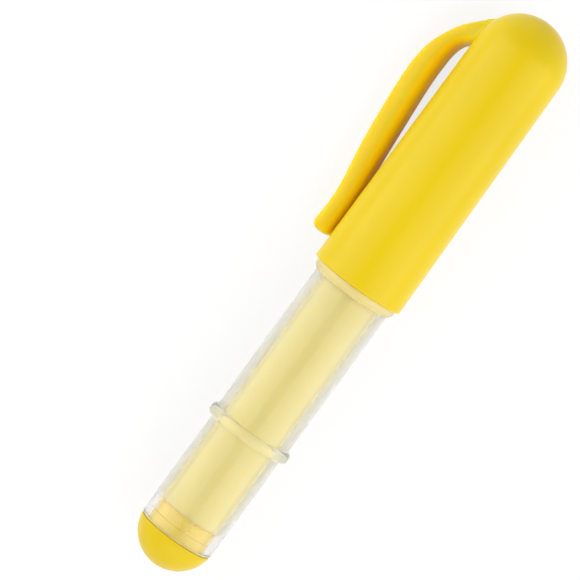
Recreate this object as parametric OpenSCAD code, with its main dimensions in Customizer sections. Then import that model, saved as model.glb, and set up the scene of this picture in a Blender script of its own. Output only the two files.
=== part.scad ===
// Chalk wheel marker: a pocket pen that rolls out a fine line of chalk powder.
// Every piece is drawn upright, with the tail of the marker at z = 0 and the cap on top.
// lay_down() then lays it on its side, with the cap towards +X, resting on cap and clip.

/* [Barrel] */
// Outer diameter of the rear section, and of the neck that the cap covers
barrel_d = 14.35; // [14.1:0.05:14.6]
// How far the grip section stands out past the rear section
grip_rise = 0.225; // [0.1:0.025:0.4]
// Wall thickness of the rear section, round the powder chamber
tube_wall = 1.425; // [1.2:0.025:1.6]
// Length of the rear section, from the tube's rear edge to the stop ring
rear_l = 21; // [14:1:32]
// Length of the grip section, from the stop ring to the collar
grip_l = 29.2; // [20:0.2:45]
// Length of the neck, from the collar to the nib's flange
neck_l = 8; // [7:0.5:11]
// How far the stop ring stands out past the rear section
ring_rise = 1.025; // [0.7:0.025:1.4]
// Width of the stop ring
ring_w = 2; // [1.4:0.1:3]
// How far the collar, which the cap closes against, stands out past the rear section
collar_rise = 0.975; // [0.8:0.025:1.3]
// Height of the collar
collar_h = 1.7; // [1.4:0.1:3]
// Radial depth of the bevel under the collar
collar_bevel = 0.6; // [0.2:0.1:0.7]
// Height of the snap bead on the neck
bead_h = 0.14; // [0.06:0.02:0.14]
// Radius of the tube's rounded rear edge
tube_edge_r = 0.4; // [0.1:0.1:0.6]

/* [Tail plug] */
// How far the plug's dome is set in from the tube's outside
dome_inset = 0.025; // [0:0.025:0.2]
// Height of the dome that stands out of the tube
dome_h = 6.4; // [5:0.1:7]
// Length of the skirt inside the tube
skirt_l = 4.4; // [3.5:0.1:7]
// Wall thickness of the plug
plug_wall = 1.4; // [1:0.1:2]
// Width of the seal groove round the skirt
groove_w = 0.9; // [0.5:0.1:1.2]
// Depth of the seal groove
groove_depth = 0.35; // [0.1:0.05:0.5]

/* [Cap] */
// Length of the cap
cap_l = 55.7; // [54:0.1:62]
// Wall thickness of the cap at its mouth
cap_wall = 1.475; // [1.3:0.025:1.8]
// Draft angle of the cap's side
cap_draft = 0.58; // [0.3:0.02:0.7]
// Thickness of the domed end wall
cap_end_wall = 1.8; // [1.2:0.1:3]
// Radius of the cap's rounded rim
cap_edge_r = 0.3; // [0.1:0.05:0.4]

/* [Clip] */
// Width of the clip across its arm
clip_w = 6.2; // [5:0.1:7]
// Distance of the clip's root below the top of the cap
clip_root_drop = 7.4; // [7:0.1:7.6]
// Thickness of the arm where it leaves the cap
clip_root_t = 5.2; // [4.6:0.1:6]
// Distance of the clip's thin bend below the top of the cap
clip_bend_drop = 11; // [10.7:0.1:11.5]
// Height of the bend's middle above the cap's side
clip_bend_lift = 2.55; // [2.35:0.05:3]
// Thickness of the arm at the bend
clip_bend_t = 3.1; // [2.6:0.1:3.4]
// Distance of the bow's crest below the top of the cap
clip_bow_drop = 18.3; // [17.5:0.1:19.5]
// Height of the bow's middle above the cap's side
clip_bow_lift = 4.4; // [4:0.05:5]
// Thickness of the arm along the bow
clip_bow_t = 4.4; // [3.6:0.1:4.6]
// Distance of the arm's middle below the top of the cap
clip_arm_drop = 33; // [30:0.5:35]
// Height of the arm's middle above the cap's side
clip_arm_lift = 3.45; // [3.25:0.05:4]
// Distance of the foot's narrow part below the top of the cap
clip_foot_drop = 44.7; // [43:0.1:46.5]
// Height of the foot's middle above the cap's side
clip_foot_lift = 2.1; // [2.05:0.05:2.8]
// Thickness of the foot
clip_foot_t = 3.6; // [2.8:0.1:3.6]
// Distance of the clip's tip below the top of the cap
clip_tip_drop = 52.3; // [50:0.1:53.5]
// Height of the tip's middle above the cap's side
clip_tip_lift = 2.3; // [2.2:0.05:2.8]
// Thickness of the tip
clip_tip_t = 3.8; // [3:0.1:4]

/* [Nib] */
// How far the nib's flange is set in from the neck's outside
flange_inset = 0.325; // [0.1:0.025:0.6]
// Thickness of the flange
flange_h = 1; // [0.6:0.1:1.6]
// Width of the step between the flange's edge and the cone
cone_step = 0.65; // [0.4:0.05:1]
// Diameter of the cone's front end
cone_tip_d = 8.6; // [8.2:0.1:9.4]
// Length of the cone
cone_l = 8; // [7:0.5:12]
// Length of the stem pressed into the neck
stem_l = 7; // [5:0.5:7.5]
// Wall thickness of the stem
stem_wall = 1.15; // [0.9:0.05:1.4]
// Diameter of the wheel holder's shank
holder_d = 6.8; // [6.6:0.1:7.2]
// Diameter of the powder channel
feed_d = 2.2; // [1.6:0.1:2.8]
// Thickness of each cheek beside the wheel
cheek_t = 1.25; // [1:0.05:1.4]
// Radius of the cheeks round the axle
cheek_r = 1.9; // [1.6:0.1:2.1]

/* [Wheel] */
// Diameter of the dosing wheel over its teeth
wheel_d = 5.6; // [5.2:0.1:5.8]
// Thickness of the wheel's rim
wheel_w = 0.8; // [0.6:0.05:1]
// Number of teeth
wheel_teeth = 28; // [16:2:36]
// Depth of the teeth
tooth_depth = 0.35; // [0.2:0.05:0.5]
// Diameter of the wheel's hub
hub_d = 2.4; // [2:0.1:2.8]
// Diameter of the axle pin
axle_d = 1.2; // [0.9:0.1:1.3]

/* [Clearances] */
// Radial play between the cap's bore and the neck
cap_play = 0.2; // [0.18:0.02:0.3]
// Gap between the cap's rim and the collar
seat_gap = 0.05; // [0.02:0.01:0.1]
// Radial play between the plug's skirt and the chamber
plug_play = 0.06; // [0.04:0.01:0.1]
// Radial gap between pieces that are pressed or glued together
fixed_gap = 0.02; // [0.01:0.01:0.04]
// Gap left round the powder
powder_gap = 0.05; // [0.03:0.01:0.1]
// Radial play of the wheel on its axle
axle_play = 0.05; // [0.03:0.01:0.08]
// Gap between the wheel's rim and each cheek
side_gap = 0.15; // [0.12:0.01:0.25]
// Gap between the wheel's teeth and the bottom of its pocket
pocket_gap = 0.25; // [0.15:0.05:0.3]
// Gap between the clip's root and the cap, which lets the root flex
clip_gap = 0.2; // [0.15:0.01:0.3]

/* [Hidden] */
$fn = 96;
eps = 0.01;
yellow = [0.95, 0.80, 0.14];
frosted = [0.93, 0.92, 0.84, 0.55];
chalk_tint = [0.95, 0.90, 0.55];
nib_white = [0.93, 0.92, 0.88];
steel = [0.72, 0.73, 0.75];

barrel_r = barrel_d / 2;
grip_r = barrel_r + grip_rise;
bore_r = barrel_r - tube_wall;
ring_r = barrel_r + ring_rise;
collar_r = barrel_r + collar_rise;
dome_r = barrel_r - dome_inset;
cap_bore_r = barrel_r + cap_play;
cap_r = cap_bore_r + cap_wall;
flange_r = barrel_r - flange_inset;
cone_base_r = flange_r - cone_step;
cone_tip_r = cone_tip_d / 2;
wheel_r = wheel_d / 2;
axle_r = axle_d / 2;
holder_r = holder_d / 2;
feed_r = feed_d / 2;

// Heights along the marker, from the tail up
tube_z = dome_h;
ring_z = tube_z + rear_l;
grip_z = ring_z + ring_w;
collar_z = grip_z + grip_l;
seat_z = collar_z + collar_h;
neck_z = seat_z + neck_l;
stem_z = neck_z - stem_l;
cone_z = neck_z + flange_h;
tip_z = cone_z + cone_l;
mouth_z = seat_z + seat_gap;
overall_l = mouth_z + cap_l;

// Collar and snap bead
collar_bevel_h = 0.8;
bead_z = 3.6;
bead_r = 0.6;
snap_groove_depth = 0.22;
mouth_bevel = 0.4;

// Tail plug
skirt_r = bore_r - plug_play;
skirt_top = tube_z + skirt_l;
skirt_lead = 0.5;
plug_gap = 0.05;
groove_z = tube_z + 1.9;

// Nib and wheel
shoulder_z = neck_z - flange_h;
counterbore_r = bore_r - fixed_gap - stem_wall;
holder_flange_h = 1.2;
funnel_r = holder_r;
funnel_l = 6;
axle_lead = 3.3;
wheel_z = tip_z + axle_lead;
pocket_w = wheel_w + 2 * side_gap;
pocket_r = wheel_r + pocket_gap;
cheek_half = pocket_w / 2 + cheek_t;
nose_taper_l = 2.8;
cheek_taper_l = 2.6;
hub_gap = 0.05;
press = 0.01;
cone_groove_r = 0.45;
cone_land = 1;
cone_lead = 0.5;

// Clip: half sizes along the arm, and the shape of its rounded cross-section
section_power = 3;
section_points = 28;
tip_round = 2.1;
clip_root_sink = 1.85;
clip_root_run = 4;
clip_bow_r = cap_r + clip_bow_lift;
clip_bow_half = clip_bow_t / 2;
clip_half_w = clip_w / 2;

// Roll at which the bow of the clip and the rim of the cap touch the table together
support_power = section_power / (section_power - 1);
function section_reach(along, across) =
    pow(pow(abs(along), support_power) + pow(abs(across), support_power), 1 / support_power);
function bow_drop(angle) = clip_bow_r * sin(angle)
    + section_reach(clip_bow_half * sin(angle), clip_half_w * cos(angle));
function bow_side(angle) = clip_bow_r * cos(angle)
    + section_reach(clip_bow_half * cos(angle), clip_half_w * sin(angle));
function settle(low, high, steps) = let (middle = (low + high) / 2)
    steps == 0 ? middle
    : bow_drop(middle) > cap_r ? settle(low, middle, steps - 1)
    : settle(middle, high, steps - 1);
clip_roll = settle(0, 60, 24);
axis_y = (cap_r - bow_side(clip_roll)) / 2;

// Lays a piece on its side, turned by roll round the marker's axis first
module lay_down(roll = 0) {
    translate([-overall_l / 2, axis_y, cap_r])
        rotate([0, 90, 0])
            rotate([0, 0, roll])
                children();
}

// Half outline of a turned bar from z0 to z1, with rounded outer corners
module bar(r, z0, z1, low_round = 0, high_round = 0) {
    polygon([
        [0, z0],
        [r - low_round, z0],
        [r, z0 + low_round],
        [r, z1 - high_round],
        [r - high_round, z1],
        [0, z1]
    ]);
    if (low_round > 0)
        translate([r - low_round, z0 + low_round]) circle(low_round);
    if (high_round > 0)
        translate([r - high_round, z1 - high_round]) circle(high_round);
}

// Half outline of a tapered tube end closed by a dome that is tangent to its side
module bullet(r, length, edge = 0) {
    end_r = r - length * tan(cap_draft);
    nose_r = end_r * cos(cap_draft) / (1 - sin(cap_draft));
    nose_z = length - nose_r;
    side_r = nose_r * cos(cap_draft);
    side_z = nose_z + nose_r * sin(cap_draft);
    low_r = r - edge * tan(cap_draft);
    intersection() {
        union() {
            polygon([[0, 0], [r - edge, 0], [low_r, edge], [side_r, side_z], [0, side_z]]);
            translate([0, nose_z]) circle(nose_r);
            if (edge > 0)
                translate([low_r - edge, edge]) circle(edge);
        }
        square([r, length]);
    }
}

module cap_shell() {
    groove_z = bead_z - seat_gap;
    bore = cap_bore_r;
    color(yellow)
        lay_down(90 - clip_roll)
            translate([0, 0, mouth_z])
                rotate_extrude()
                    difference() {
                        bullet(cap_r, cap_l, cap_edge_r);
                        bullet(bore, cap_l - cap_end_wall);
                        polygon([
                            [0, -eps],
                            [bore + mouth_bevel, -eps],
                            [bore - eps, mouth_bevel],
                            [0, mouth_bevel]
                        ]);
                        translate([bore + snap_groove_depth - bead_r, groove_z]) circle(bead_r);
                    }
}

// The clip's middle line: [height above the mouth, distance from the axis, half thickness]
clip_line = [
    [cap_l - clip_root_drop, cap_r - clip_root_sink, clip_root_t / 2],
    [cap_l - clip_bend_drop, cap_r + clip_bend_lift, clip_bend_t / 2],
    [cap_l - clip_bow_drop, clip_bow_r, clip_bow_half],
    [cap_l - clip_arm_drop, cap_r + clip_arm_lift, clip_bow_half],
    [cap_l - clip_foot_drop, cap_r + clip_foot_lift, clip_foot_t / 2],
    [cap_l - clip_tip_drop, cap_r + clip_tip_lift, clip_tip_t / 2]
];
clip_spans = len(clip_line) - 1;
span_steps = 7;

// Cardinal spline through the line's points, which runs on straight inside the cap's wall
function line_point(i) = clip_line[max(0, min(clip_spans, i))];
function blend4(a, b, c, d, t) = 0.5 * (2 * b + (c - a) * t
    + (2 * a - 5 * b + 4 * c - d) * pow(t, 2) + (3 * b - a - 3 * c + d) * pow(t, 3));
function on_line(s) = let (i = min(clip_spans - 1, floor(s)))
    s < 0 ? line_point(0) + s * clip_root_run * concat(line_slope(0), 0)
    : blend4(line_point(i - 1), line_point(i), line_point(i + 1), line_point(i + 2), s - i);
function line_slope(s) = let (step = 0.02, a = on_line(max(0, s - step)),
    b = on_line(min(clip_spans, max(0, s) + step)), d = [b[0] - a[0], b[1] - a[1]]) d / norm(d);

// Shrinks the arm's section over its last stretch, so that the tip ends round
function tip_scale(point) = let (left = (point[0] - cap_l + clip_tip_drop) / tip_round)
    left >= 1 ? 1 : pow(max(0.0001, 1 - pow(1 - left, section_power)), 1 / section_power);
function signed_root(x) = sign(x) * pow(abs(x), 2 / section_power);
function section(s) = let (p = on_line(s), along = line_slope(s), normal = [-along[1], along[0]],
    k = tip_scale(p))
    [for (j = [0:section_points - 1]) let (a = 360 * j / section_points,
        out = p[2] * k * signed_root(cos(a)), side = clip_half_w * k * signed_root(sin(a)))
        [p[1] - out * normal[1], side, p[0] - out * normal[0]]];

// Solid skin over a run of closed sections
module loft(sections) {
    count = len(sections[0]);
    last = len(sections) - 1;
    polyhedron(
        points = [for (ring = sections) each ring],
        faces = concat(
            [[for (j = [count - 1:-1:0]) j]],
            [for (i = [0:last - 1], j = [0:count - 1]) let (k = (j + 1) % count)
                [i * count + j, i * count + k, (i + 1) * count + k, (i + 1) * count + j]],
            [[for (j = [0:count - 1]) last * count + j]]
        )
    );
}

clip_stops = concat(
    [-1],
    [for (i = [0:clip_spans * span_steps - span_steps]) i / span_steps],
    [for (a = [15:15:90]) clip_spans - 1 + sin(a)]
);

module pocket_clip() {
    color(yellow)
        lay_down(90 - clip_roll)
            translate([0, 0, mouth_z])
                difference() {
                    loft([for (s = clip_stops) section(s)]);
                    rotate_extrude()
                        bullet(cap_r + clip_gap, cap_l + clip_gap);
                }
}

module barrel() {
    color(frosted)
        lay_down()
            rotate_extrude()
                difference() {
                    union() {
                        bar(barrel_r, tube_z, ring_z + ring_w, tube_edge_r);
                        bar(ring_r, ring_z, grip_z, ring_w / 2 - eps, ring_w / 2 - eps);
                        bar(grip_r, ring_z + ring_w / 2, collar_z + collar_h / 2);
                        polygon([
                            [0, collar_z],
                            [collar_r - collar_bevel, collar_z],
                            [collar_r, collar_z + collar_bevel_h],
                            [collar_r, seat_z],
                            [0, seat_z]
                        ]);
                        bar(barrel_r, seat_z - eps, neck_z);
                        translate([barrel_r + bead_h - bead_r, seat_z + bead_z]) circle(bead_r);
                    }
                    translate([0, tube_z - eps]) square([bore_r, neck_z - tube_z + 2 * eps]);
                }
}

module end_plug() {
    hollow_r = skirt_r - plug_wall;
    color(yellow)
        lay_down()
            rotate_extrude()
                difference() {
                    union() {
                        intersection() {
                            translate([0, dome_r]) circle(dome_r);
                            square([dome_r, tube_z - plug_gap]);
                        }
                        translate([0, dome_h / 2]) square([skirt_r, dome_h / 2 + eps]);
                        polygon([
                            [0, tube_z],
                            [skirt_r, tube_z],
                            [skirt_r, skirt_top - skirt_lead],
                            [skirt_r - skirt_lead, skirt_top],
                            [0, skirt_top]
                        ]);
                    }
                    translate([0, plug_wall + hollow_r]) circle(hollow_r);
                    translate([0, plug_wall + hollow_r]) square([hollow_r, skirt_top]);
                    translate([skirt_r - groove_depth, groove_z]) square([groove_depth + eps, groove_w]);
                }
}

// Half outline of the passage through the holder, from its flange to the wheel's pocket
module feed_outline(shrink = 0) {
    flange_z = shoulder_z - holder_flange_h;
    polygon([
        [0, flange_z - eps],
        [funnel_r - shrink, flange_z - eps],
        [feed_r - shrink, flange_z + funnel_l],
        [feed_r - shrink, wheel_z - pocket_r - shrink],
        [0, wheel_z - pocket_r - shrink]
    ]);
}

module chalk_powder() {
    color(chalk_tint)
        lay_down()
            rotate_extrude() {
                translate([0, skirt_top + plug_gap])
                    square([bore_r - powder_gap, stem_z - skirt_top - plug_gap]);
                translate([0, stem_z - eps])
                    square([counterbore_r - powder_gap, shoulder_z - holder_flange_h - stem_z + eps]);
                feed_outline(powder_gap);
            }
}

module nib_cone() {
    color(nib_white)
        lay_down()
            rotate_extrude()
                difference() {
                    union() {
                        bar(bore_r - fixed_gap, stem_z, neck_z);
                        bar(flange_r, neck_z, cone_z, 0, flange_h / 3);
                        polygon([
                            [0, cone_z - eps],
                            [cone_base_r, cone_z - eps],
                            [cone_base_r, cone_z + cone_land],
                            [cone_tip_r, tip_z - cone_lead],
                            [cone_tip_r - cone_lead, tip_z],
                            [0, tip_z]
                        ]);
                    }
                    translate([cone_base_r, cone_z + cone_land]) circle(cone_groove_r);
                    translate([0, stem_z - eps]) square([counterbore_r, shoulder_z - stem_z + eps]);
                    translate([0, shoulder_z - eps]) square([holder_r + fixed_gap, cone_l * 2]);
                }
}

module wheel_holder() {
    flange_z = shoulder_z - holder_flange_h;
    top_z = wheel_z + cheek_r;
    nose_z = wheel_z - nose_taper_l;
    color(nib_white)
        lay_down()
            difference() {
                intersection() {
                    rotate_extrude() {
                        bar(counterbore_r - fixed_gap, flange_z, shoulder_z);
                        bar(holder_r, flange_z, top_z);
                    }
                    rotate([90, 0, 0])
                        linear_extrude(2 * bore_r, center = true) {
                            translate([-bore_r, flange_z]) square([2 * bore_r, shoulder_z - flange_z]);
                            translate([-holder_r, flange_z]) square([2 * holder_r, nose_z - flange_z]);
                            polygon([
                                [-holder_r, nose_z],
                                [holder_r, nose_z],
                                [cheek_r, wheel_z],
                                [-cheek_r, wheel_z]
                            ]);
                            translate([0, wheel_z]) circle(cheek_r);
                        }
                    rotate([90, 0, 90])
                        linear_extrude(2 * bore_r, center = true)
                            polygon([
                                [-bore_r, flange_z],
                                [bore_r, flange_z],
                                [bore_r, shoulder_z],
                                [holder_r, shoulder_z],
                                [holder_r, nose_z - cheek_taper_l / 2],
                                [cheek_half, nose_z + cheek_taper_l / 2],
                                [cheek_half, top_z],
                                [-cheek_half, top_z],
                                [-cheek_half, nose_z + cheek_taper_l / 2],
                                [-holder_r, nose_z - cheek_taper_l / 2],
                                [-holder_r, shoulder_z],
                                [-bore_r, shoulder_z]
                            ]);
                }
                rotate_extrude() feed_outline();
                translate([0, 0, wheel_z])
                    rotate([90, 0, 0]) {
                        cylinder(r = pocket_r, h = pocket_w, center = true);
                        cylinder(r = axle_r - press, h = 4 * cheek_half, center = true);
                    }
            }
}

module dosing_wheel() {
    color(steel)
        lay_down()
            translate([0, 0, wheel_z])
                rotate([90, 0, 0])
                    difference() {
                        union() {
                            linear_extrude(wheel_w, center = true)
                                polygon([for (i = [0:2 * wheel_teeth - 1])
                                    let (r = i % 2 == 0 ? wheel_r : wheel_r - tooth_depth,
                                        a = 180 * i / wheel_teeth)
                                    [r * cos(a), r * sin(a)]]);
                            cylinder(d = hub_d, h = pocket_w - 2 * hub_gap, center = true);
                        }
                        cylinder(r = axle_r + axle_play, h = 2 * pocket_w, center = true);
                    }
}

module wheel_axle() {
    color(steel)
        lay_down()
            translate([0, 0, wheel_z])
                rotate([90, 0, 0])
                    cylinder(r = axle_r, h = 2 * cheek_half, center = true);
}

cap_shell();
pocket_clip();
barrel();
end_plug();
chalk_powder();
nib_cone();
wheel_holder();
dosing_wheel();
wheel_axle();
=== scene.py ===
"""Looks of a chalk wheel marker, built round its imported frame.

Sizes below are millimetres on the marker: a station is the distance from the tail along its axis,
a radius the distance from that axis. on_marker() and on_wheel() bring them into the frame, which
is in metres.
"""
import math

import bmesh
import bpy
from mathutils import Matrix, Vector


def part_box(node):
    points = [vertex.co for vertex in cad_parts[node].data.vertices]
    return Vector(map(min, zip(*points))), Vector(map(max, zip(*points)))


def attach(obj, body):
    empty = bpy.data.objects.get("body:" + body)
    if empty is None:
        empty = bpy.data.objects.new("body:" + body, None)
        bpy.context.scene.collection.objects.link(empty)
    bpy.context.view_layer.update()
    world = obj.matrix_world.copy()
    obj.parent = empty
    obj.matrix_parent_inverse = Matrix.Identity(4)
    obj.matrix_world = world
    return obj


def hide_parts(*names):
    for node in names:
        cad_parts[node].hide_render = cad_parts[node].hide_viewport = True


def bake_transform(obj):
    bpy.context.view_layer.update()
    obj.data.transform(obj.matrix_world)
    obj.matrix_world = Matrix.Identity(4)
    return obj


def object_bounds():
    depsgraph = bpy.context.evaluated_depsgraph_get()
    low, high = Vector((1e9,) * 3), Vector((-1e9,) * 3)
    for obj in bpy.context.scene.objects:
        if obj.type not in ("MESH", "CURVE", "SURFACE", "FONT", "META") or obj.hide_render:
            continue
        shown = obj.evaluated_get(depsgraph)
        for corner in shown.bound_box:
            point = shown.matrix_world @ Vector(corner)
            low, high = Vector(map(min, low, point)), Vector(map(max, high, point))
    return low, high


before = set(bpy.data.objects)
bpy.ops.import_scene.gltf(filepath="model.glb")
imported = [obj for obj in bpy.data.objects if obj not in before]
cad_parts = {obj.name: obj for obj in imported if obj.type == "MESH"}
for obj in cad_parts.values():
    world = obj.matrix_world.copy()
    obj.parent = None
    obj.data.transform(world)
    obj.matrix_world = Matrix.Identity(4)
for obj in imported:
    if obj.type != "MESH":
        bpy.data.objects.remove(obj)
cad_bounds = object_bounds()

MM = 0.001
TURN_STEPS = 192                    # points round a turned piece
FILLET_STEP = math.radians(9)       # and between two points of a fillet

# Where the marker lies, and which way its clip points
CLIP_ROLL = math.radians(25.4585)
barrel_low, barrel_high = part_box("barrel")
tail_low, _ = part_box("end_plug")
ORIGIN = Vector((tail_low.x,
                 (barrel_low.y + barrel_high.y) / 2,
                 (barrel_low.z + barrel_high.z) / 2))
ALONG = Vector((1, 0, 0))
CLIP_OUT = Vector((0, math.cos(CLIP_ROLL), -math.sin(CLIP_ROLL)))
CLIP_SIDE = Vector((0, math.sin(CLIP_ROLL), math.cos(CLIP_ROLL)))

# Stations shared by several pieces
TUBE = 6.4                          # the tube's rear edge
SKIRT_END = 10.8                    # end of the plug's skirt, where the powder begins
RING, RING_END = 27.4, 29.4         # the stop ring
COLLAR, SEAT = 58.6, 60.3           # the bevelled collar, and its face towards the cap
MOUTH = 60.35                       # the cap's rim
STEM = 61.3                         # the nib's end inside the tube
SHOULDER, NECK_END = 67.3, 68.3     # the step in the nib's bore, and the tube's front edge
CONE, TIP = 69.3, 77.3              # the nib's cone
WHEEL = 80.6                        # the wheel's axle

# Radii shared by several pieces
BORE_R, BARREL_R, GRIP_R = 5.75, 7.175, 7.4
RING_R, COLLAR_R = 8.2, 8.15
NIB_STEP_R = 4.58                   # the nib's bore behind its step

# The cap's length, radius at the mouth and bore, the draft of its sides and its dome's thickness
CAP_L, CAP_R, CAP_BORE, CAP_DRAFT, CAP_END = 55.7, 8.85, 7.375, math.radians(0.58), 1.8


# ---------------------------------------------------------------- outlines and meshes

def rounded(corners):
    """Outline through (radius, station, fillet) corners, each fillet drawn as a short arc."""
    points = []
    count = len(corners)
    for i, (r, u, fillet) in enumerate(corners):
        if fillet <= 0:
            points.append((r, u))
            continue
        here = Vector((r, u))
        before = (Vector(corners[i - 1][:2]) - here).normalized()
        after = (Vector(corners[(i + 1) % count][:2]) - here).normalized()
        half = before.angle(after) / 2
        centre = here + (before + after).normalized() * fillet / math.sin(half)
        first = here + before * fillet / math.tan(half) - centre
        last = here + after * fillet / math.tan(half) - centre
        sweep = first.angle_signed(last)
        pieces = max(2, round(abs(sweep) / FILLET_STEP))
        for k in range(pieces + 1):
            spin = Matrix.Rotation(-sweep * k / pieces, 2)
            points.append(tuple(centre + spin @ first))
    return points


def arc(centre_u, radius, from_deg, to_deg, steps):
    """Arc round a centre on the axis; 0 degrees points away from the axis, 90 towards the cap."""
    angles = [math.radians(from_deg + (to_deg - from_deg) * k / steps) for k in range(steps + 1)]
    return [(max(0.0, radius * math.cos(a)), centre_u + radius * math.sin(a)) for a in angles]


def bulge(base_r, station, height, round_r, half_steps=6):
    """Run of (radius, station) over a round bulge outwards: a bead outside, a groove in a bore."""
    half = math.sqrt(round_r ** 2 - (round_r - height) ** 2)
    offsets = [half * k / half_steps for k in range(-half_steps, half_steps + 1)]
    return [(base_r + height - round_r + math.sqrt(max(0, round_r ** 2 - s ** 2)), station + s)
            for s in offsets]


def finish_mesh(name, mesh, material, sharp_deg=32):
    """Object from a mesh, with faces outward, smooth shading and crisp corners."""
    work = bmesh.new()
    work.from_mesh(mesh)
    bmesh.ops.recalc_face_normals(work, faces=work.faces)
    work.to_mesh(mesh)
    work.free()
    mesh.shade_smooth()
    mesh.set_sharp_from_angle(angle=math.radians(sharp_deg))
    mesh.materials.append(material)
    obj = bpy.data.objects.new(name, mesh)
    bpy.context.scene.collection.objects.link(obj)
    return obj


def add_materials(obj, *materials):
    """Give a piece more materials, and return the numbers that its faces know them by."""
    first = len(obj.data.materials)
    for material in materials:
        obj.data.materials.append(material)
    return range(first, len(obj.data.materials))


def on_marker(u, a, r):
    """Place at station u, turned by a round the marker's axis, at distance r from it."""
    return ORIGIN + Vector((u, r * math.cos(a), r * math.sin(a))) * MM


def on_wheel(u, a, r):
    """The same round the wheel's axle, with u counted from its middle."""
    return ORIGIN + Vector((WHEEL + r * math.cos(a), u, r * math.sin(a))) * MM


def turned(name, outline, material, steps=TURN_STEPS, place=on_marker, teeth=0, depth=0.0):
    """Piece turned round an axis. An outline whose ends lie on the axis is closed by poles.

    Rings of the outline that are marked as toothed dip by this depth between the teeth.
    """
    on_axis = 1e-6
    points, faces, rows = [], [], []
    for r, u, *toothed in outline:
        if r < on_axis:
            rows.append([len(points)] * steps)
            points.append(place(u, 0, 0))
            continue
        rows.append(list(range(len(points), len(points) + steps)))
        for k in range(steps):
            a = 2 * math.pi * k / steps
            dip = depth * (1 - abs(2 * (k * teeth / steps % 1) - 1)) if toothed else 0
            points.append(place(u, a, r - dip))
    open_run = outline[0][0] < on_axis and outline[-1][0] < on_axis
    for i in range(len(rows) - (1 if open_run else 0)):
        low, high = rows[i], rows[(i + 1) % len(rows)]
        for k in range(steps):
            n = (k + 1) % steps
            corner = [low[k], low[n], high[n], high[k]]
            face = [c for j, c in enumerate(corner) if c != corner[j - 1]]
            if len(face) > 2:
                faces.append(face)
    mesh = bpy.data.meshes.new(name)
    mesh.from_pydata([tuple(p) for p in points], [], faces)
    return finish_mesh(name, mesh, material)


# ---------------------------------------------------------------- kinds of material

def node_material(name):
    material = bpy.data.materials.new(name)
    material.use_nodes = True
    nodes, links = material.node_tree.nodes, material.node_tree.links
    return material, nodes, links, nodes["Principled BSDF"]


def noise(nodes, links, scale, detail=3.0, roughness=0.5, stretch=(1, 1, 1)):
    """Noise in the frame's own coordinates, in cycles per metre along each axis."""
    place = nodes.new("ShaderNodeTexCoord")
    mapping = nodes.new("ShaderNodeMapping")
    mapping.inputs["Scale"].default_value = stretch
    texture = nodes.new("ShaderNodeTexNoise")
    texture.inputs["Scale"].default_value = scale
    texture.inputs["Detail"].default_value = detail
    texture.inputs["Roughness"].default_value = roughness
    links.new(place.outputs["Object"], mapping.inputs["Vector"])
    links.new(mapping.outputs["Vector"], texture.inputs["Vector"])
    return texture.outputs["Fac"]


def mixed_colour(nodes, links, fac, low, high, start=0.3, end=0.7):
    """Colour that goes from low to high while the factor goes from start to end."""
    ramp = nodes.new("ShaderNodeValToRGB")
    ramp.color_ramp.elements[0].position = start
    ramp.color_ramp.elements[1].position = end
    ramp.color_ramp.elements[0].color = (*low, 1)
    ramp.color_ramp.elements[1].color = (*high, 1)
    links.new(fac, ramp.inputs["Fac"])
    return ramp.outputs["Color"]


def mixed_value(nodes, links, fac, low, high, start=0.3, end=0.7):
    """Value that goes from low to high while the factor goes from start to end."""
    spread = nodes.new("ShaderNodeMapRange")
    spread.inputs["From Min"].default_value = start
    spread.inputs["From Max"].default_value = end
    spread.inputs["To Min"].default_value = low
    spread.inputs["To Max"].default_value = high
    links.new(fac, spread.inputs["Value"])
    return spread.outputs["Result"]


def bumped(nodes, links, shader, height, strength, distance):
    """Fine relief for the light only, of this distance in metres."""
    bump = nodes.new("ShaderNodeBump")
    bump.inputs["Strength"].default_value = strength
    bump.inputs["Distance"].default_value = distance
    links.new(height, bump.inputs["Height"])
    links.new(bump.outputs["Normal"], shader.inputs["Normal"])


def moulded_plastic(name, dark, light, gloss=(0.34, 0.44), shine=0.3):
    """Opaque moulded plastic: faint flow marks, a satin skin and the mould's fine grain."""
    material, nodes, links, shader = node_material(name)
    flow = noise(nodes, links, scale=90, detail=2.0, stretch=(0.35, 1, 1))
    grain = noise(nodes, links, scale=4200, detail=2.0, roughness=0.6)
    wear = noise(nodes, links, scale=420, detail=4.0, roughness=0.6)
    links.new(mixed_colour(nodes, links, flow, dark, light), shader.inputs["Base Color"])
    links.new(mixed_value(nodes, links, wear, *gloss), shader.inputs["Roughness"])
    shader.inputs["IOR"].default_value = 1.46
    shader.inputs["Specular IOR Level"].default_value = shine
    bumped(nodes, links, shader, grain, strength=0.1, distance=0.00002)
    return material


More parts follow.
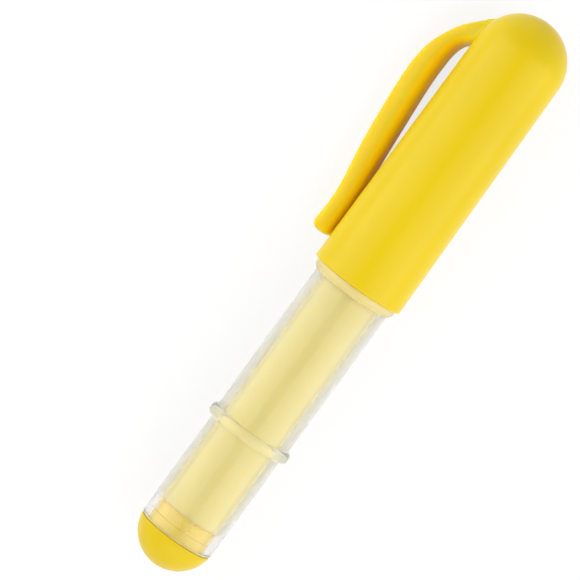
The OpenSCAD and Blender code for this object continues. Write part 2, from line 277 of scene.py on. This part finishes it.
def thin_moulded_plastic(name, dark, light, deep, gloss, shine, lee_shine=0.05):
    """The same plastic in a thin arm, with subsurface scattering clear of its root.

    On the lee side, facing the cap, the base colour is painted a brighter orange (deep) as painted
    light, for light through the arm and off the cap, and the specular is turned down there.
    The colours of "arm" tell how far a point gets this painted light (red) and lies clear of the
    root (green).
    """
    material = moulded_plastic(name, dark, light, gloss, shine)
    nodes, links = material.node_tree.nodes, material.node_tree.links
    shader = nodes["Principled BSDF"]
    arm = nodes.new("ShaderNodeAttribute")
    arm.attribute_name = "arm"
    split = nodes.new("ShaderNodeSeparateColor")
    links.new(arm.outputs["Color"], split.inputs["Color"])
    painted_lee_light, clear = split.outputs["Red"], split.outputs["Green"]
    # Painted light: on the lee side facing the cap the base colour is mixed towards deep, a
    # brighter orange
    mix = nodes.new("ShaderNodeMix")
    mix.data_type = "RGBA"
    links.new(painted_lee_light, mix.inputs["Factor"])
    links.new(shader.inputs["Base Color"].links[0].from_socket, mix.inputs["A"])
    mix.inputs["B"].default_value = (*deep, 1)
    links.new(mix.outputs["Result"], shader.inputs["Base Color"])
    links.new(mixed_value(nodes, links, painted_lee_light, shine, lee_shine, 0, 1),
              shader.inputs["Specular IOR Level"])
    links.new(clear, shader.inputs["Subsurface Weight"])
    shader.inputs["Subsurface Radius"].default_value = (1.0, 0.5, 0.03)
    shader.inputs["Subsurface Scale"].default_value = 0.004
    return material


def see_through_plastic(name, low, high, gloss, transmission):
    """Moulded plastic that lets light through, with faint flow marks along the tube."""
    material, nodes, links, shader = node_material(name)
    haze = noise(nodes, links, scale=160, roughness=0.55, stretch=(0.3, 1, 1))
    links.new(mixed_colour(nodes, links, haze, low, high), shader.inputs["Base Color"])
    links.new(mixed_value(nodes, links, haze, *gloss), shader.inputs["Roughness"])
    shader.inputs["Transmission Weight"].default_value = transmission
    shader.inputs["IOR"].default_value = 1.40
    return material


def packed_powder(name, low, high):
    """Fine packed powder: granular, matt, with slightly denser and looser patches."""
    material, nodes, links, shader = node_material(name)
    patches = noise(nodes, links, scale=260, detail=4.0, roughness=0.6)
    grains = noise(nodes, links, scale=3800, roughness=0.7)
    links.new(mixed_colour(nodes, links, patches, low, high), shader.inputs["Base Color"])
    shader.inputs["Roughness"].default_value = 0.95
    bumped(nodes, links, shader, grains, strength=0.35, distance=0.00008)
    return material


def turned_steel(name, dark, light, gloss):
    """Fine-turned steel with concentric tool marks round the wheel's axle."""
    material, nodes, links, shader = node_material(name)
    marks = noise(nodes, links, scale=2400, roughness=0.6, stretch=(1, 6, 1))
    stains = noise(nodes, links, scale=700)
    links.new(mixed_colour(nodes, links, stains, dark, light), shader.inputs["Base Color"])
    links.new(mixed_value(nodes, links, marks, *gloss), shader.inputs["Roughness"])
    shader.inputs["Metallic"].default_value = 1.0
    bumped(nodes, links, shader, marks, strength=0.12, distance=0.00002)
    return material


# ---------------------------------------------------------------- materials

YELLOW_GLOSS = (0.28, 0.36)

cap_plastic = moulded_plastic(
    "cap_plastic", dark=(0.645, 0.468, 0.005), light=(0.69, 0.508, 0.008),
    gloss=YELLOW_GLOSS, shine=0.22)
# The clip's lee side is painted a brighter orange (deep): painted light for light through the arm
# and off the cap
clip_plastic = thin_moulded_plastic(
    "clip_plastic", dark=(0.64, 0.49, 0.005), light=(0.69, 0.53, 0.008),
    deep=(0.99, 0.66, 0.004), gloss=YELLOW_GLOSS, shine=0.2)
plug_plastic = moulded_plastic(
    "plug_plastic", dark=(0.60, 0.43, 0.006), light=(0.64, 0.46, 0.010),
    gloss=YELLOW_GLOSS, shine=0.2)
# The plug's skirt inside the tube: a brighter, more saturated copy of the plug's plastic, painted
# light for the light that the tube holds back
plug_skirt_painted_light = moulded_plastic(
    "plug_skirt_painted_light", dark=(0.93, 0.69, 0.045), light=(0.95, 0.74, 0.09), gloss=(0.5, 0.7))
clear_plastic = see_through_plastic(
    "clear_plastic", low=(0.994, 0.988, 0.96), high=(1.0, 0.998, 0.985),
    gloss=(0.10, 0.14), transmission=0.98)
ring_plastic = see_through_plastic(
    "ring_plastic", low=(0.985, 0.95, 0.74), high=(0.99, 0.965, 0.80),
    gloss=(0.14, 0.2), transmission=0.86)
collar_plastic = see_through_plastic(
    "collar_plastic", low=(1.0, 0.86, 0.38), high=(1.0, 0.88, 0.46),
    gloss=(0.15, 0.2), transmission=0.60)
dusty_bore = see_through_plastic(
    "dusty_bore", low=(0.985, 0.955, 0.80), high=(0.995, 0.97, 0.86),
    gloss=(0.38, 0.46), transmission=0.80)
clear_bore = see_through_plastic(
    "clear_bore", low=(0.99, 0.96, 0.84), high=(1.0, 0.98, 0.90),
    gloss=(0.22, 0.30), transmission=0.94)
chalk = packed_powder("chalk", low=(0.925, 0.795, 0.13), high=(0.945, 0.825, 0.18))
nib_plastic = moulded_plastic(
    "nib_plastic", dark=(0.60, 0.59, 0.54), light=(0.66, 0.65, 0.60), gloss=(0.30, 0.42))
holder_plastic = moulded_plastic(
    "holder_plastic", dark=(0.54, 0.535, 0.50), light=(0.60, 0.595, 0.56), gloss=(0.36, 0.48))
steel = turned_steel(
    "steel", dark=(0.46, 0.46, 0.48), light=(0.58, 0.58, 0.60), gloss=(0.24, 0.40))


# ---------------------------------------------------------------- cap

def nose(radius, length):
    """Radius of the dome that closes a drafted tube end of this length, tangent to its side."""
    end_r = radius - length * math.tan(CAP_DRAFT)
    return end_r * math.cos(CAP_DRAFT) / (1 - math.sin(CAP_DRAFT))


def bullet(radius, length, steps=26):
    """Run of (radius, station) over a drafted tube's dome, from the end of its side to the pole."""
    nose_r = nose(radius, length)
    return arc(length - nose_r, nose_r, math.degrees(CAP_DRAFT), 90, steps)


def cap_depth(height, distance):
    """How deep a point at this height above the mouth lies under the cap's skin."""
    nose_r = nose(CAP_R, CAP_L)
    if height > CAP_L - nose_r:
        return nose_r - math.hypot(distance, height - CAP_L + nose_r)
    return CAP_R - height * math.tan(CAP_DRAFT) - distance


def make_cap():
    """The cap: bore with a snap groove, rim and outer skin, drawn from pole to pole."""
    lead_in, rim_fillet = 0.4, 0.3
    groove = bulge(CAP_BORE, 3.55, height=0.22, round_r=0.6)
    inner = [(CAP_BORE + lead_in, 0.0), (CAP_BORE, lead_in),
             *groove, *bullet(CAP_BORE, CAP_L - CAP_END)]
    outer = bullet(CAP_R, CAP_L)
    rim = rounded([(CAP_BORE + lead_in, 0, 0), (CAP_R, 0, rim_fillet), (*outer[0], 0)])
    outline = [(r, u + MOUTH) for r, u in [*reversed(inner), *rim[1:-1], *outer]]
    cap = turned("cap_moulding", outline, cap_plastic)
    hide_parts("cap_shell")
    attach(cap, "cap")


# ---------------------------------------------------------------- clip

# Its middle line: height above the cap's mouth, distance from the axis and half thickness
CLIP_LINE = [(48.3, 7.0, 2.6), (44.7, 11.4, 1.55), (37.4, 13.25, 2.2),
             (22.7, 12.3, 2.2), (11.0, 10.95, 1.8), (3.4, 11.15, 1.9)]
CLIP_SPANS = len(CLIP_LINE) - 1
CLIP_HALF_W = 3.1
CLIP_POWER = 3                      # of its sections and its tip: 2 is an ellipse, more is squarer
CLIP_POINTS = 56                    # points round each section
TIP_ROUND = 2.1                     # length of the tip's round end
ROOT_RUN = 4.0                      # length of one span of the line before its first point
ROOT_SINK = 0.6                     # how deep the skin runs into the cap's wall


def on_clip(s):
    """Point of CLIP_LINE at s, counted in spans from its first point, on a smooth curve.

    Before its first point the line runs on straight, inside the cap's wall.
    """
    if s < 0:
        along = clip_slope(0)
        return Vector(CLIP_LINE[0]) + Vector((along.x, along.y, 0)) * s * ROOT_RUN
    i = min(CLIP_SPANS - 1, int(s))
    a, b, c, d = (Vector(CLIP_LINE[max(0, min(CLIP_SPANS, i + k))]) for k in (-1, 0, 1, 2))
    t = s - i
    return 0.5 * (2 * b + (c - a) * t + (2 * a - 5 * b + 4 * c - d) * t ** 2
                  + (3 * b - a - 3 * c + d) * t ** 3)


def clip_slope(s, near=0.02):
    """Direction of the middle line at s, as (height, distance from the axis)."""
    ahead = on_clip(min(CLIP_SPANS, max(0, s) + near)) - on_clip(max(0, s - near))
    return Vector((ahead.x, ahead.y)).normalized()


def clip_point(s, j, flare=1.0):
    """Height above the mouth, distance from the axis and way across of point j of the skin."""
    here, along = on_clip(s), clip_slope(s)
    left = (here.x - CLIP_LINE[-1][0]) / TIP_ROUND
    shrink = 1 if left >= 1 else max(0.0001, 1 - (1 - left) ** CLIP_POWER) ** (1 / CLIP_POWER)
    a = 2 * math.pi * j / CLIP_POINTS
    c, d = math.cos(a), math.sin(a)
    out = here.z * shrink * math.copysign(abs(c) ** (2 / CLIP_POWER), c)
    side = CLIP_HALF_W * shrink * flare * math.copysign(abs(d) ** (2 / CLIP_POWER), d)
    return here.x + out * along.y, here.y - out * along.x, side


def clip_root(j):
    """Where line j of the clip's skin has run far enough into the cap's wall, by halving."""
    deep, clear = -1.4, 1.0
    for _ in range(20):
        s = (deep + clear) / 2
        height, radius, side = clip_point(s, j)
        if cap_depth(height, math.hypot(radius, side)) > ROOT_SINK:
            deep = s
        else:
            clear = s
    return deep


def clip_stops(roots):
    """Where each ring of the skin cuts its lines: fanned out at the root, then level."""
    root_rings, rings_per_span, tip_step_deg = 24, 16, 5
    stops = [[root + (1 - root) * k / root_rings for root in roots] for k in range(root_rings)]
    stops += [[1 + k / rings_per_span] * CLIP_POINTS
              for k in range((CLIP_SPANS - 2) * rings_per_span)]
    stops += [[CLIP_SPANS - 1 + math.sin(math.radians(a))] * CLIP_POINTS
              for a in range(0, 91, tip_step_deg)]
    return stops


def eased(share):
    """The share held between 0 and 1, with soft ends."""
    share = min(1.0, max(0.0, share))
    return share * share * (3 - 2 * share)


def mark_painted_lee_and_root(mesh, stops, roots):
    """Write how far each point gets the painted light of the lee side (red) and lies clear of its
    root (green).
    """
    lee_from, lee_width, lee_run = 0.1, 0.8, 0.3
    clear_from, clear_run = 0.12, 0.85
    arm = mesh.color_attributes.new("arm", "FLOAT_COLOR", "POINT")
    for k in range(len(mesh.vertices)):
        ring, j = divmod(k, CLIP_POINTS)
        # After the rings come the middles of the two ends: j is 0 at the root, 1 at the tip
        run = stops[ring][j] - roots[j] if ring < len(stops) else j
        inward = -math.cos(2 * math.pi * j / CLIP_POINTS)
        # Share of the painted light: the lee side facing the cap, away from the root
        painted_lee_light = eased((inward - lee_from) / lee_width) * eased(run / lee_run)
        arm.data[k].color = (painted_lee_light, eased((run - clear_from) / clear_run), 0, 1)


def make_clip():
    """The clip's arm, with its root in the cap's wall."""
    flare, flare_run = 0.14, 0.55
    roots = [clip_root(j) for j in range(CLIP_POINTS)]
    stops = clip_stops(roots)
    points = []
    for ring in stops:
        for j, s in enumerate(ring):
            wide = 1 + flare * max(0, 1 - (s - roots[j]) / flare_run) ** 2
            height, radius, side = clip_point(s, j, wide)
            place = ALONG * (height + MOUTH) + CLIP_OUT * radius + CLIP_SIDE * side
            points.append(ORIGIN + place * MM)
    faces = []
    for i in range(0, len(points) - CLIP_POINTS, CLIP_POINTS):
        for j in range(CLIP_POINTS):
            n = (j + 1) % CLIP_POINTS
            faces.append([i + j, i + n, i + CLIP_POINTS + n, i + CLIP_POINTS + j])
    for start in (0, len(points) - CLIP_POINTS):
        ring = list(range(start, start + CLIP_POINTS))
        middle = sum((points[k] for k in ring), Vector()) / CLIP_POINTS
        points.append(middle)
        faces += [[ring[k - 1], ring[k], len(points) - 1] for k in range(CLIP_POINTS)]
    mesh = bpy.data.meshes.new("clip_arm")
    mesh.from_pydata([tuple(p) for p in points], [], faces)
    mark_painted_lee_and_root(mesh, stops, roots)
    clip = finish_mesh("clip_arm", mesh, clip_plastic, sharp_deg=60)
    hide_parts("pocket_clip")
    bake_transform(clip)


# ---------------------------------------------------------------- barrel, plug and powder

def make_barrel():
    """The tube, drawn round its rear edge, along its outside to the neck, and back in the bore."""
    bead = [(r, u, 0) for r, u in bulge(BARREL_R, SEAT + 3.6, height=0.14, round_r=0.6)]
    corners = [
        (BORE_R, SKIRT_END, 0), (BORE_R, TUBE, 0.12), (BARREL_R, TUBE, 0.4),
        (BARREL_R, RING, 0.25), (RING_R, RING, 0.72), (RING_R, RING_END, 0.72),
        (GRIP_R, RING_END, 0.25), (GRIP_R, COLLAR, 0.06), (COLLAR_R - 0.6, COLLAR, 0.08),
        (COLLAR_R, COLLAR + 0.8, 0.25), (COLLAR_R, SEAT, 0.12), (BARREL_R, SEAT, 0.1), *bead,
        (BARREL_R, NECK_END, 0.15), (BORE_R, NECK_END, 0.1)]
    barrel = turned("barrel_tube", rounded(corners), clear_plastic)
    dusty, clear, ring, collar = add_materials(
        barrel, dusty_bore, clear_bore, ring_plastic, collar_plastic)
    bore_limit, ring_limit = BORE_R + 0.01, GRIP_R + 0.05
    edge_end, collar_start = TUBE + 0.45, COLLAR - 0.02
    vertices = barrel.data.vertices
    for face in barrel.data.polygons:
        outer_r = max(math.hypot(vertices[v].co.y - ORIGIN.y, vertices[v].co.z - ORIGIN.z) / MM
                      for v in face.vertices)
        station = (face.center.x - ORIGIN.x) / MM
        if outer_r < bore_limit:
            face.material_index = dusty if station > SKIRT_END else clear
        elif station < edge_end or outer_r > ring_limit and station < collar_start:
            face.material_index = ring
        elif station > collar_start:
            face.material_index = collar
    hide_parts("barrel")
    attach(barrel, "barrel")


def make_plug():
    """The tail's dome, its skirt with a seal groove, and the bowl inside."""
    dome_r, skirt_r, wall, bevel = 7.15, 5.69, 1.4, 0.5
    hollow_r = skirt_r - wall
    top = TUBE + 4.4
    groove_u, groove_end, groove_r = TUBE + 1.9, TUBE + 1.9 + 0.9, skirt_r - 0.35
    height = TUBE - 0.05
    edge = math.degrees(math.asin((dome_r - height) / dome_r))
    dome = arc(dome_r, dome_r, -90, -edge, 30)
    brim_r = dome[-1][0]
    skirt = rounded([
        (brim_r, height - 0.4, 0), (brim_r, height, 0.25), (skirt_r, height, 0),
        (skirt_r, groove_u, 0.08), (groove_r, groove_u, 0.1), (groove_r, groove_end, 0.1),
        (skirt_r, groove_end, 0.08), (skirt_r, top - bevel, 0.15), (skirt_r - bevel, top, 0.15),
        (hollow_r, top, 0.15), (hollow_r, wall + hollow_r, 0)])
    bowl = arc(wall + hollow_r, hollow_r, -4, -90, 20)
    plug = turned("tail_plug", [*dome[:-3], *skirt[1:], *bowl], plug_plastic)
    # Painted light: the skirt's faces inside the tube take the brighter copy of the plug's plastic
    dusty, = add_materials(plug, plug_skirt_painted_light)
    for face in plug.data.polygons:
        if face.center.x > ORIGIN.x + TUBE * MM:
            face.material_index = dusty
    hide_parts("end_plug")
    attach(plug, "plug")


def make_powder():
    """Everything that the powder fills: the chamber, the nib's bore, the funnel and the channel."""
    gap = 0.05
    chamber_r, throat_r, funnel_r, feed_r = BORE_R - gap, 4.53, 3.35, 1.1 - gap
    start, stem, throat_end = SKIRT_END + gap, STEM - gap, SHOULDER - 1.2
    funnel_end, feed_end = SHOULDER + 4.8, WHEEL - 3.1
    corners = [(0, start, 0), (chamber_r, start, 0.3), (chamber_r, stem, 0.4),
               (throat_r, stem, 0.2), (throat_r, throat_end, 0.3), (funnel_r, throat_end, 0.2),
               (feed_r, funnel_end, 0.8), (feed_r, feed_end, 0.2), (0, feed_end, 0)]
    powder = turned("powder_fill", rounded(corners), chalk)
    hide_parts("chalk_powder")
    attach(powder, "barrel")


# ---------------------------------------------------------------- nib and wheel

def make_nib():
    """The nib: stem in the tube, flange, a cove at the cone's foot, cone, and stepped bore."""
    stem_r, flange_r, base_r, tip_r, bore = BORE_R - 0.02, 6.85, 6.2, 4.3, 3.42
    cove_r, land, tip_bevel = 0.45, CONE + 1, 0.5
    start = math.radians(270)
    slope = math.atan2(TIP - tip_bevel - land, tip_r - base_r)
    turns = [start + (slope - start) * k / 12 for k in range(13)]
    cove = [(base_r + cove_r * math.cos(a), land + cove_r * math.sin(a), 0) for a in turns]
    corners = [(NIB_STEP_R, STEM, 0.15), (stem_r, STEM, 0.25), (stem_r, NECK_END, 0.06),
               (flange_r, NECK_END, 0.12), (flange_r, CONE, 0.33), (base_r, CONE, 0.18), *cove,
               (tip_r, TIP - tip_bevel, 0.3), (tip_r - tip_bevel, TIP, 0.2), (bore, TIP, 0.1),
               (bore, SHOULDER, 0.08), (NIB_STEP_R, SHOULDER, 0.15)]
    nib = turned("nib_moulding", rounded(corners), nib_plastic)
    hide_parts("nib_cone")
    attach(nib, "barrel")


def make_holder():
    """The wheel's holder: the frame's own shape, with its edges rounded."""
    same_point, flat, edge_angle = 1e-6, math.radians(0.6), math.radians(25)
    shape = bmesh.new()
    shape.from_mesh(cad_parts["wheel_holder"].data)
    bmesh.ops.remove_doubles(shape, verts=shape.verts, dist=same_point)
    bmesh.ops.dissolve_limit(shape, angle_limit=flat, verts=shape.verts, edges=shape.edges)
    edges = [e for e in shape.edges
             if len(e.link_faces) == 2 and e.calc_face_angle() > edge_angle]
    bmesh.ops.bevel(shape, geom=edges, offset=0.1 * MM, segments=2, profile=0.5,
                    affect="EDGES", clamp_overlap=True)
    mesh = bpy.data.meshes.new("holder_moulding")
    shape.to_mesh(mesh)
    shape.free()
    holder = finish_mesh("holder_moulding", mesh, holder_plastic, sharp_deg=14)
    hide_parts("wheel_holder")
    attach(holder, "barrel")


def make_wheel():
    """The toothed wheel with its hub, and the pin that it turns on."""
    teeth, tooth_depth, rim = 28, 0.35, 0.75
    wheel_r, half_w, hub_r, hub_half, bore, bevel, fillet = 2.8, 0.4, 1.2, 0.5, 0.65, 0.06, 0.02
    face = [(bore, hub_half - bevel), (bore + bevel, hub_half),
            (hub_r - bevel, hub_half), (hub_r, hub_half - bevel),
            (hub_r, half_w + fillet), (hub_r + fillet, half_w), (wheel_r - rim, half_w),
            (wheel_r - bevel, half_w, True), (wheel_r, half_w - bevel, True)]
    outline = [(r, -u, *toothed) for r, u, *toothed in face] + face[::-1]
    wheel = turned("toothed_wheel", outline, steel, teeth * 8, on_wheel, teeth, tooth_depth)
    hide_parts("dosing_wheel")
    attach(wheel, "wheel")

    pin_r, pin_half, chamfer = 0.6, 1.8, 0.1
    outline = [(0, -pin_half), (pin_r - chamfer, -pin_half), (pin_r, chamfer - pin_half),
               (pin_r, pin_half - chamfer), (pin_r - chamfer, pin_half), (0, pin_half)]
    pin = turned("axle_pin", outline, steel, 64, on_wheel)
    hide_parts("wheel_axle")
    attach(pin, "barrel")


# ---------------------------------------------------------------- floor and light

def seen_by_eye(nodes, links):
    """How far the floor glows for the rays that show it, and not for the light that it gives."""
    path = nodes.new("ShaderNodeLightPath")
    value = None
    for name, share in (("Is Camera Ray", 0.8), ("Is Glossy Ray", 0.8),
                        ("Is Transmission Ray", 1.0)):
        scaled = nodes.new("ShaderNodeMath")
        scaled.operation = "MULTIPLY"
        scaled.inputs[1].default_value = share
        links.new(path.outputs[name], scaled.inputs[0])
        if value is None:
            value = scaled.outputs["Value"]
            continue
        top = nodes.new("ShaderNodeMath")
        top.operation = "MAXIMUM"
        links.new(value, top.inputs[0])
        links.new(scaled.outputs["Value"], top.inputs[1])
        value = top.outputs["Value"]
    return value


def make_floor():
    """White paper, a hair below the frame, because the finer pieces reach just below its solids."""
    half, hair, grey = 6.0, 0.005 * MM, 0.94
    low = cad_bounds[0][2] - hair
    mesh = bpy.data.meshes.new("floor")
    corners = [(-half, -half, low), (half, -half, low), (half, half, low), (-half, half, low)]
    mesh.from_pydata(corners, [], [(0, 1, 2, 3)])
    floor = bpy.data.objects.new("floor", mesh)
    bpy.context.scene.collection.objects.link(floor)
    material = bpy.data.materials.new("floor")
    material.use_nodes = True
    nodes, links = material.node_tree.nodes, material.node_tree.links
    nodes.clear()
    output = nodes.new("ShaderNodeOutputMaterial")
    mix = nodes.new("ShaderNodeMixShader")
    matt = nodes.new("ShaderNodeBsdfDiffuse")
    matt.inputs["Color"].default_value = (grey, grey, grey, 1)
    glow = nodes.new("ShaderNodeEmission")
    glow.inputs["Strength"].default_value = 1.0
    links.new(seen_by_eye(nodes, links), mix.inputs["Fac"])
    links.new(matt.outputs["BSDF"], mix.inputs[1])
    links.new(glow.outputs["Emission"], mix.inputs[2])
    links.new(mix.outputs["Shader"], output.inputs["Surface"])
    mesh.materials.append(material)


def make_sky(horizon, zenith):
    """White sky that lights the marker less from above, and is plain white to the eye."""
    low, high = 0.05, 0.85
    world = bpy.data.worlds.new("sky")
    bpy.context.scene.world = world
    world.use_nodes = True
    nodes, links = world.node_tree.nodes, world.node_tree.links
    sky = nodes["Background"]
    sky.inputs["Color"].default_value = (1, 1, 1, 1)
    place = nodes.new("ShaderNodeTexCoord")
    split = nodes.new("ShaderNodeSeparateXYZ")
    links.new(place.outputs["Generated"], split.inputs["Vector"])
    height = mixed_value(nodes, links, split.outputs["Z"], horizon, zenith, low, high)
    path = nodes.new("ShaderNodeLightPath")
    spread = nodes.new("ShaderNodeMapRange")
    spread.inputs["To Max"].default_value = 1.0
    links.new(height, spread.inputs["To Min"])
    links.new(path.outputs["Is Camera Ray"], spread.inputs["Value"])
    links.new(spread.outputs["Result"], sky.inputs["Strength"])


# How far the photo's camera leans to the cap's end, goes round the axis and is rolled; the way
# towards it, and the marker's own up and left as it sees them
TILT, SIDE_VIEW, TWIST = math.radians(5.5), math.radians(84.54), math.radians(35.9)
VIEW = Vector((math.sin(TILT),
               math.cos(TILT) * math.cos(SIDE_VIEW),
               math.cos(TILT) * math.sin(SIDE_VIEW)))
PEN_UP = Vector((math.cos(TILT),
                 -math.sin(TILT) * math.cos(SIDE_VIEW),
                 -math.sin(TILT) * math.sin(SIDE_VIEW)))
PEN_LEFT = Vector((0, math.sin(SIDE_VIEW), -math.cos(SIDE_VIEW)))

LAMP_DISTANCE = 0.6
SIDE_LAMPS = ((14, 34, 1.55), (34, 58, 2.1), (58, 84, 2.6))     # degrees off VIEW, and radiance


def softbox(name, aim, direction, width, length, radiance):
    """Lamp that stands off in this direction from the place it aims at, its length with the pen."""
    data = bpy.data.lights.new(name, "AREA")
    data.shape = "RECTANGLE"
    data.size = length
    data.size_y = width
    data.energy = radiance * math.pi * width * length
    lamp = bpy.data.objects.new(name, data)
    z = direction.normalized()
    x = ALONG - z * ALONG.dot(z)
    x.normalize()
    turn = Matrix((x, z.cross(x), z)).transposed().to_4x4()
    lamp.matrix_world = Matrix.Translation(aim + z * LAMP_DISTANCE) @ turn
    lamp.visible_camera = False
    bpy.context.scene.collection.objects.link(lamp)


def make_lights():
    """One softbox off the tail, and on each side three that grow brighter away from the view."""
    middle = ORIGIN + ALONG * 58 * MM
    softbox("softbox_tail", middle, Vector((-0.75, -0.2, 0.63)), 0.75, 0.39, radiance=1.6)
    for side, hand in ((1, "left"), (-1, "right")):
        for start, end, radiance in SIDE_LAMPS:
            angle = math.radians((start + end) / 2)
            half = math.radians((end - start) / 2)
            toward = VIEW * math.cos(angle) + PEN_LEFT * side * math.sin(angle)
            width = 2 * LAMP_DISTANCE * math.tan(half)
            softbox("softbox_%s_%d" % (hand, start), middle, toward, width, 0.60, radiance)


# ---------------------------------------------------------------- camera

def make_camera():
    """The photo's camera: a long lens that stands off along VIEW, rolled by TWIST."""
    up = PEN_UP * math.cos(TWIST) + PEN_LEFT * math.sin(TWIST)
    right = PEN_UP * math.sin(TWIST) - PEN_LEFT * math.cos(TWIST)
    distance, seen_width, sensor = 0.65, 0.10043, 36
    aim = ORIGIN + ALONG * 52.7 * MM + PEN_LEFT * 8.85 * MM
    data = bpy.data.cameras.new("camera")
    data.sensor_width = sensor
    data.lens = sensor * distance / seen_width
    camera = bpy.data.objects.new("camera", data)
    turn = Matrix((right, up, VIEW)).transposed().to_4x4()
    camera.matrix_world = Matrix.Translation(aim + VIEW * distance) @ turn
    bpy.context.scene.collection.objects.link(camera)
    bpy.context.scene.camera = camera


make_cap()
make_clip()
make_barrel()
make_plug()
make_powder()
make_nib()
make_holder()
make_wheel()
make_floor()
make_sky(horizon=0.9, zenith=0.12)
make_lights()
make_camera()
bpy.context.scene.view_settings.view_transform = "Standard"
